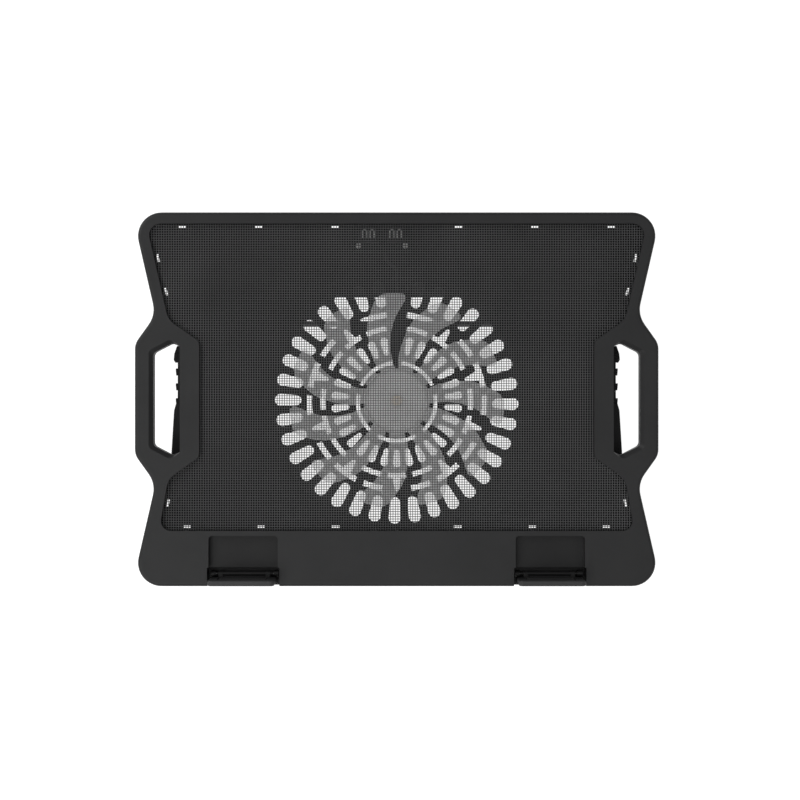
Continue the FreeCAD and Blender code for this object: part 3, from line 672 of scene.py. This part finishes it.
# one blade round the origin: a thin curved shell with rounded tip corners
def bladeMesh(low, high):
    rings = rotorPlan["rings"]
    steps = rotorPlan["steps"]
    pitch = 360 / rotorPlan["blades"]
    thick = rotorPlan["thick"]
    tip = rotorPlan["tip"]
    root = rotorPlan["hubRadius"] - 0.6 * mm
    sides = {1: [], -1: []}
    for i in range(rings + 1):
        radius = root + (tip - root) * i / rings
        front = smoothValue(rotorPlan["frontEdge"], radius / mm)
        back = smoothValue(rotorPlan["backEdge"], radius / mm) - pitch
        closing = min(1.0, max(0.0, (radius - tip) / rotorPlan["tipRound"] + 1))
        trim = (1 - math.sqrt(1 - closing ** 2)) * rotorPlan["tipTrim"]
        for side in sides:
            for j in range(steps + 1):
                t = j / steps
                angle = math.radians((front - trim) * t + (back + trim) * (1 - t))
                rise = t + rotorPlan["camber"] * math.sin(math.pi * t)
                edge = math.sqrt(max(0.0, 1 - (2 * t - 1) ** 6))
                half = thick / 2 * (0.25 + 0.75 * edge) * (1.15 - 0.35 * i / rings)
                z = low + thick + (high - low - 2 * thick) * rise / 1.06 + side * half
                sides[side].append((radius * math.cos(angle), radius * math.sin(angle), z))
    verts = sides[1] + sides[-1]
    shift = len(sides[1])
    row = steps + 1
    faces = []
    for i in range(rings):
        for j in range(steps):
            a = i * row + j
            faces.append((a, a + row, a + row + 1, a + 1))
            faces.append((a + shift, a + 1 + shift, a + row + 1 + shift, a + row + shift))
    border = list(range(row)) + [i * row + steps for i in range(1, rings + 1)]
    border += [rings * row + j for j in range(steps - 1, -1, -1)]
    border += [i * row for i in range(rings - 1, 0, -1)]
    for k, a in enumerate(border):
        b = border[(k + 1) % len(border)]
        faces.append((a, b, b + shift, a + shift))
    return meshFrom("blade", verts, faces)


# cup with a rounded top edge, a shallow dish and a boss for the shaft
def cupMesh(bottom, top):
    hub = rotorPlan["hubRadius"]
    wall = rotorPlan["hubWall"]
    bend = rotorPlan["hubRound"]
    dish = rotorPlan["dish"]
    profile = [(hub, bottom)]
    for k in range(9):
        turn = math.radians(90 * k / 8)
        profile.append((hub - bend * (1 - math.cos(turn)), top - bend * (1 - math.sin(turn))))
    profile += [(hub - bend - 1.2 * mm, top), (hub - bend - 1.5 * mm, top - dish),
                (4.2 * mm, top - dish), (4.0 * mm, top - dish / 3), (2.2 * mm, top - dish / 3),
                (1.6 * mm, top - 0.5 * mm), (0.02 * mm, top - 0.5 * mm), (0.02 * mm, top - 1.2 * mm),
                (1.5 * mm, top - 1.6 * mm), (1.5 * mm, top - 4 * mm), (3.4 * mm, top - 4 * mm),
                (3.4 * mm, top - wall), (hub - wall - 1.4 * mm, top - wall),
                (hub - wall, top - wall - 1.4 * mm), (hub - wall, bottom)]
    verts, faces = revolve(profile)
    return meshFrom("cup", verts, faces)


def makeRotor():
    print("fan rotor")
    low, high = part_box("fan_rotor")
    blade = bladeMesh(low[2] + 0.4 * mm, high[2] - 0.4 * mm)
    tree = ringCopyTree("bladeRing", finish["smoke"])
    blades = applyTree("blades", blade, tree, {"Count": rotorPlan["blades"]})
    cup = cupMesh(low[2], high[2])
    mesh = joined("fanRotor", [blades, cup], (0, centreOf("rotor_shaft")[1], 0), 35)
    takePlace("fanRotor", coated(mesh, finish["smoke"]), "fan_rotor", "rotor")


# windings: turns of wire round each pole of the core

windingPlan = {"poles": 4, "turns": 9, "layers": 2, "layerStep": 1.9, "wire": 0.3 * mm,
               "from": 7.2 * mm, "to": 12.2 * mm, "halfWidth": 2.7 * mm, "halfHeight": 2.9 * mm,
               "corner": 0.8 * mm, "firstAngle": 45}


def makeWindings():
    print("windings")
    core = centreOf("stator_core")
    verts = []
    edges = []
    for layer in range(windingPlan["layers"]):
        grow = layer * windingPlan["wire"] * windingPlan["layerStep"]
        loop = roundedRect(windingPlan["halfWidth"] + grow, windingPlan["halfHeight"] + grow,
                           windingPlan["corner"] + grow, 3)
        for i in range(windingPlan["turns"]):
            share = i / (windingPlan["turns"] - 1)
            away = windingPlan["from"] + (windingPlan["to"] - windingPlan["from"]) * share
            first = len(verts)
            verts += [(away, side, up) for side, up in loop]
            edges += [(first + k, first + (k + 1) % len(loop)) for k in range(len(loop))]
    source = bpy.data.meshes.new("turnLines")
    source.from_pydata(verts, edges, [])
    wire = wireTree("windingWire", finish["copper"])
    coil = applyTree("coil", source, wire, {"Radius": windingPlan["wire"], "Sides": 6})
    turned = Matrix.Rotation(math.radians(windingPlan["firstAngle"]), 3, "Z")
    for vertex in coil.vertices:
        vertex.co = turned @ vertex.co
    poleRing = ringCopyTree("coilRing", finish["copper"])
    coils = applyTree("coils", coil, poleRing, {"Count": windingPlan["poles"]})
    mesh = joined("windings", [coils], core, 40)
    bm = bmesh.new()
    bm.from_mesh(mesh)
    bmesh.ops.recalc_face_normals(bm, faces=bm.faces)
    for face in bm.faces:
        face.smooth = True
    mesh = coated(bmeshToMesh("windings", bm), finish["copper"])
    takePlace("windings", mesh, "stator_coils", "pad")


# screws with a cross recess, under the housing and on the USB board

screwPlan = {
    "sides": 24,
    "boardTurn": 0.4,            # radians by which the cross recesses on the board are turned
    "housing": {"head": 2.6 * mm, "height": 1.1 * mm, "dome": 0.35 * mm, "arm": 1.5 * mm, "slot": 0.33 * mm,
                "depth": 0.7 * mm, "shank": 1.25 * mm},
    "board": {"head": 2.1 * mm, "height": 1.4 * mm, "dome": 0.3 * mm, "arm": 1.3 * mm, "slot": 0.28 * mm,
              "depth": 0.6 * mm, "shank": 1.0 * mm},
}


# a screw pointing down from its head, with its seat at the origin
def screwMesh(plan, length):
    bm = bmesh.new()
    top = plan["height"]
    arm = plan["arm"]
    slot = plan["slot"]
    sides = screwPlan["sides"]
    cross = [(arm, slot), (slot, slot), (slot, arm), (-slot, arm), (-slot, slot), (-arm, slot),
             (-arm, -slot), (-slot, -slot), (-slot, -arm), (slot, -arm), (slot, -slot), (arm, -slot)]
    crossTop = [bm.verts.new((x, y, top)) for x, y in cross]
    crossFloor = [bm.verts.new((x * 0.85, y * 0.85, top - plan["depth"])) for x, y in cross]

    def circle(radius, z):
        turns = [2 * math.pi * i / sides for i in range(sides)]
        return [bm.verts.new((radius * math.cos(turn), radius * math.sin(turn), z)) for turn in turns]

    def skin(lower, upper):
        for i in range(len(lower)):
            j = (i + 1) % len(lower)
            bm.faces.new((lower[i], lower[j], upper[j], upper[i])).smooth = True

    flat = circle(plan["head"] - plan["dome"] * 1.6, top)          # from the middle of the head outwards
    shoulder = circle(plan["head"] - plan["dome"] * 0.3, top - plan["dome"] * 0.6)
    rim = circle(plan["head"], top - plan["dome"] * 1.4)
    seat = circle(plan["head"], 0)
    neck = circle(plan["shank"], 0)
    tip = circle(plan["shank"], -length)
    for lower, upper in ((shoulder, flat), (rim, shoulder), (seat, rim), (neck, seat), (tip, neck)):
        skin(lower, upper)
    skin(crossFloor, crossTop)
    bm.faces.new(crossFloor)
    bm.faces.new(list(reversed(tip)))
    loops = []
    for ring in (flat, crossTop):
        loops += [bm.edges.get((ring[i - 1], ring[i])) for i in range(len(ring))]
    bmesh.ops.bridge_loops(bm, edges=loops)
    bmesh.ops.recalc_face_normals(bm, faces=bm.faces)
    mesh = bmeshToMesh("screw", bm)
    mesh.set_sharp_from_angle(angle=math.radians(40))
    return mesh


# where the CAD node's separate solids stand, seen from above
def solidCentres(node):
    bm = bmesh.new()
    bm.from_mesh(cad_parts[node].data)
    bmesh.ops.remove_doubles(bm, verts=bm.verts, dist=1e-6)
    left = set(bm.verts)
    spots = []
    while left:
        stack = [left.pop()]
        group = []
        while stack:
            vertex = stack.pop()
            group.append(vertex.co.copy())
            for edge in vertex.link_edges:
                other = edge.other_vert(vertex)
                if other in left:
                    left.remove(other)
                    stack.append(other)
        xs = [co.x for co in group]
        ys = [co.y for co in group]
        spots.append(((min(xs) + max(xs)) / 2, (min(ys) + max(ys)) / 2))
    bm.free()
    return sorted(spots)


def makeScrews():
    print("screws")
    low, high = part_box("housing_screws")
    plan = screwPlan["housing"]
    seat = low[2] + plan["height"]
    screw = screwMesh(plan, high[2] - seat)
    screw.transform(Matrix.Rotation(math.pi, 4, "X"))        # heads look down
    spots = [(x, y, seat) for x, y in solidCentres("housing_screws")]
    mesh = copiesAt("housingScrews", screw, spots, finish["blackSteel"])
    takePlace("housingScrews", mesh, "housing_screws", "pad")
    low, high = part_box("usb_board_screws")
    plan = screwPlan["board"]
    seat = high[2] - plan["height"]
    spots = [(x, y, seat) for x, y in solidCentres("usb_board_screws")]
    mesh = copiesAt("boardScrews", screwMesh(plan, seat - low[2]), spots, finish["satinNickel"],
                    screwPlan["boardTurn"])
    takePlace("boardScrews", mesh, "usb_board_screws", "pad")


# rubber strips of the stops and rubber feet, both ribbed

ribPlan = {"stripBase": 0.4 * mm, "stripRibs": 7, "stripRib": 1.0 * mm, "stripInset": 0.4 * mm,
           "stripSoft": 0.15 * mm, "stripRibSoft": 0.3 * mm,
           "footBase": 1.0 * mm, "footRibs": 8, "footRib": 1.1 * mm, "footReach": 0.8,
           "footRibSoft": 0.25 * mm, "footEdge": 0.25 * mm, "footAround": 16}


def makeStrips():
    print("stop strips")
    for side in ("right", "left"):
        low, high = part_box("stop_strip_" + side)
        inset = ribPlan["stripInset"]
        half = ribPlan["stripRib"] / 2
        base = softBox(low, (high[0], low[1] + ribPlan["stripBase"], high[2]), ribPlan["stripSoft"])
        rib = softBox((low[0] + inset, low[1] + inset / 4, -half), (high[0] - inset, high[1], half),
                      ribPlan["stripRibSoft"], 3)
        count = ribPlan["stripRibs"]
        step = (high[2] - low[2]) / count
        values = {"Count": count, "Start": (0, 0, low[2] + step / 2), "Step": (0, 0, step)}
        ribs = applyTree("stripRibs", rib, rowCopyTree("stripRow", finish["rubber"]), values)
        mesh = coated(joined("stopStrip", [base, ribs], (0, 0, 0), 50), finish["rubber"])
        takePlace("stopStrip" + side.capitalize(), mesh, "stop_strip_" + side, "stop_" + side)


# upright pad with round ends, long in Y, about the origin
def padMesh(halfLength, radius, low, high):
    around = ribPlan["footAround"]
    edge = ribPlan["footEdge"]
    rings = [(radius, high), (radius, low + edge), (radius - edge, low)]
    verts = []
    for reach, z in rings:
        for k in range(around * 2 + 2):
            end = 1 if k <= around else -1
            turn = math.pi * (k if end > 0 else k - 1) / around
            verts.append((reach * math.cos(turn), end * (halfLength - radius) + reach * math.sin(turn), z))
    row = around * 2 + 2
    faces = [tuple(range(row)), tuple(2 * row + k for k in range(row - 1, -1, -1))]
    return meshFrom("footPad", verts, faces + bandFaces(len(rings), row))


def makeFeet():
    print("stand feet")
    low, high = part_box("stand_feet")
    spots = solidCentres("stand_feet")
    radius = high[0] - max(x for x, y in spots)
    halfLength = high[1] - max(y for x, y in spots)
    base = padMesh(halfLength, radius, ribPlan["footBase"] * 0.5, high[2])
    count = ribPlan["footRibs"]
    step = 2 * (halfLength - radius) / count
    reach = radius * ribPlan["footReach"]
    half = ribPlan["footRib"] / 2
    rib = softBox((-reach, -half, low[2]), (reach, half, ribPlan["footBase"]), ribPlan["footRibSoft"])
    values = {"Count": count, "Start": (0, step / 2 - halfLength + radius, 0), "Step": (0, step, 0)}
    ribs = applyTree("footRibs", rib, rowCopyTree("footRow", finish["rubber"]), values)
    foot = joined("foot", [base, ribs])
    mesh = copiesAt("standFeet", foot, [(x, y, 0) for x, y in spots], finish["rubber"])
    mesh.set_sharp_from_angle(angle=math.radians(50))
    takePlace("standFeet", mesh, "stand_feet", "stand")


# USB sockets: folded shells with rounded corners, and the springs that show in their tops

socketPlan = {
    "wall": 0.35 * mm,
    "corner": 0.9 * mm,
    "flare": 0.5 * mm,
    "springGap": 2.6 * mm,       # from the middle of the shell to the middle of a spring
    "springHalf": 1.45 * mm,
    "springLong": 6.2 * mm,
    "springBack": 9.9 * mm,      # from the mouth of the shell to the closed end
    "springWire": 0.42 * mm,
    "springArch": 0.8,           # height of the arch as a share of its half width
    "springProud": 0.3,          # share of the wire's radius above the shell
}


def shellMesh(middleX, low, high):
    wall = socketPlan["wall"]
    corner = socketPlan["corner"]
    flare = socketPlan["flare"]
    halfX = (high[0] - low[0]) / 2
    halfZ = (high[2] - low[2]) / 2
    middleZ = (high[2] + low[2]) / 2
    stations = [(halfX, halfZ, corner, low[1]), (halfX, halfZ, corner, high[1]),
                (halfX - wall + flare * 0.3, halfZ - wall + flare * 0.3, corner * 0.7, high[1]),
                (halfX - wall, halfZ - wall, corner - wall, high[1] - flare),
                (halfX - wall, halfZ - wall, corner - wall, low[1] + wall)]
    verts = []
    for x, z, bend, y in stations:
        verts += [(middleX + px, y, middleZ + pz) for px, pz in roundedRect(x, z, bend, 4)]
    row = len(verts) // len(stations)
    faces = [tuple(range(row)), tuple(range(len(verts) - 1, len(verts) - row - 1, -1))]
    return meshFrom("shell", verts, faces + bandFaces(len(stations), row))


# arch-shaped springs standing a little proud of each shell's top
def springMesh(middles, shellLow, shellHigh):
    verts = []
    edges = []
    half = socketPlan["springHalf"]
    rear = shellHigh[1] - socketPlan["springBack"]
    front = rear - socketPlan["springLong"]
    z = shellHigh[2] + socketPlan["springWire"] * socketPlan["springProud"]
    rise = half * socketPlan["springArch"]
    for middle in middles:
        for side in (1, -1):
            x = middle + side * socketPlan["springGap"]
            first = len(verts)
            verts.append((x + half, front, z))
            for k in range(9):
                bend = math.radians(180 * k / 8)
                verts.append((x + half * math.cos(bend), rear - half + rise * math.sin(bend), z))
            verts.append((x - half, front, z))
            edges += [(i, i + 1) for i in range(first, len(verts) - 1)]
    source = bpy.data.meshes.new("springLines")
    source.from_pydata(verts, edges, [])
    values = {"Radius": socketPlan["springWire"], "Sides": 8}
    return applyTree("springs", source, wireTree("springWire", finish["satinNickel"]), values)


def makeSockets():
    print("USB sockets")
    low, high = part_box("usb_shells")
    middles = [x for x, y in solidCentres("usb_shells")]
    half = high[0] - max(middles)
    shells = [shellMesh(x, (x - half, low[1], low[2]), (x + half, high[1], high[2])) for x in middles]
    mesh = joined("usbShells", shells, (0, 0, 0), 45)
    # the shells take the nickel darkened as painted shade
    takePlace("usbShells", coated(mesh, finish["nickelDarkenedForShade"]), "usb_shells", "pad")
    mesh = springMesh(middles, low, high)
    mesh.set_sharp_from_angle(angle=math.radians(50))
    springs = addObject("socketSprings", mesh)
    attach(springs, "pad")


# finishes of the carried-over CAD nodes

nodeFinish = {
    "top_frame": "framePlastic", "bottom_housing": "housingPlastic",
    "laptop_stop_right": "framePlastic", "laptop_stop_left": "framePlastic",
    "stop_pin_right": "steel", "stop_pin_left": "steel",
    "prop_arm_right": "standPlastic", "prop_arm_left": "standPlastic",
    "rotor_yoke": "zinc", "rotor_magnet": "magnet", "rotor_shaft": "steel",
    "stator_core": "core", "motor_board": "board",
    "bearing_tube": "brass", "bearing_sleeve": "brass", "usb_board": "board",
    "usb_tongues": "socketPlastic", "usb_contacts": "brass",
    "fan_lead": "sleeve", "stand_base": "standPlastic",
    "base_hinge_pins": "steel", "prop_pins": "steel", "prop_rod": "blackSteel",
}


def paintNodes():
    print("finishes of the plain nodes")
    for node, key in nodeFinish.items():
        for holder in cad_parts[node].material_slots:
            holder.material = finish[key]


# floor, lights and camera

studio = {
    "floor": 80.0,
    "floorGlow": 0.95,
    "distance": 1.1,             # from the camera to the top of the frame
    "across": 0.5566,            # width in view at the top of the frame
    "centreX": 0.0023,
    "centreY": -0.0005,
    "lipAbove": 2.8 * mm,        # top of the frame above the sheet
    "air": 0.14,
}

# place, side of the square panel and watts of each light; all of them face the pad
lamps = {
    "keyFrontLeft": ((-1.1, -1.0, 1.6), 1.5, 21),
    "rearLeft": ((-1.2, 1.0, 1.0), 0.9, 14),
    "lowFrontRight": ((1.0, -1.2, 0.7), 0.4, 3),
    "fillRight": ((1.4, 0.2, 1.6), 1.6, 5),
    "overhead": ((-0.2, -0.2, 2.2), 2.0, 12),
}


def makeFloor():
    half = studio["floor"] / 2
    mesh = bpy.data.meshes.new("floor")
    corners = [(-half, -half, 0), (half, -half, 0), (half, half, 0), (-half, half, 0)]
    mesh.from_pydata(corners, [], [(0, 1, 2, 3)])
    floor = addObject("floor", mesh)
    mat, nodes, links, shader, coords = startMaterial("paleFloor")
    cloud = noise(nodes, links, coords, 3)
    tone = ramp(nodes, links, cloud.outputs["Fac"], (0.3, 0.3, 0.3), (0.32, 0.32, 0.32))
    links.new(tone.outputs["Color"], shader.inputs["Base Color"])
    shader.inputs["Roughness"].default_value = 0.9
    shader.inputs["Emission Color"].default_value = (1, 1, 1, 1)
    shader.inputs["Emission Strength"].default_value = studio["floorGlow"]
    mesh.materials.append(mat)


def areaLight(name, spot, side, watts):
    data = bpy.data.lights.new(name, "AREA")
    data.shape = "SQUARE"
    data.size = side
    data.energy = watts
    lamp = addObject(name, data)
    lamp.location = spot
    lamp.rotation_euler = (-Vector(spot)).to_track_quat("-Z", "Y").to_euler()


def makeStudio():
    print("studio")
    makeFloor()
    for name, (spot, side, watts) in lamps.items():
        areaLight(name, spot, side, watts)
    world = bpy.data.worlds.new("studioAir")
    world.use_nodes = True
    air = world.node_tree.nodes["Background"]
    air.inputs["Color"].default_value = (0.9, 0.92, 0.95, 1)
    air.inputs["Strength"].default_value = studio["air"]
    scene.world = world
    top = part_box("perforated_sheet")[1][2] + studio["lipAbove"]
    data = bpy.data.cameras.new("camera")
    data.sensor_width = 36
    data.lens = data.sensor_width * studio["distance"] / studio["across"]
    data.clip_end = 100
    camera = addObject("camera", data)
    camera.location = (studio["centreX"], studio["centreY"], top + studio["distance"])
    scene.camera = camera


makeSheet()
makeRotor()
makeWindings()
makeScrews()
makeStrips()
makeFeet()
makeSockets()
paintNodes()
makeStudio()
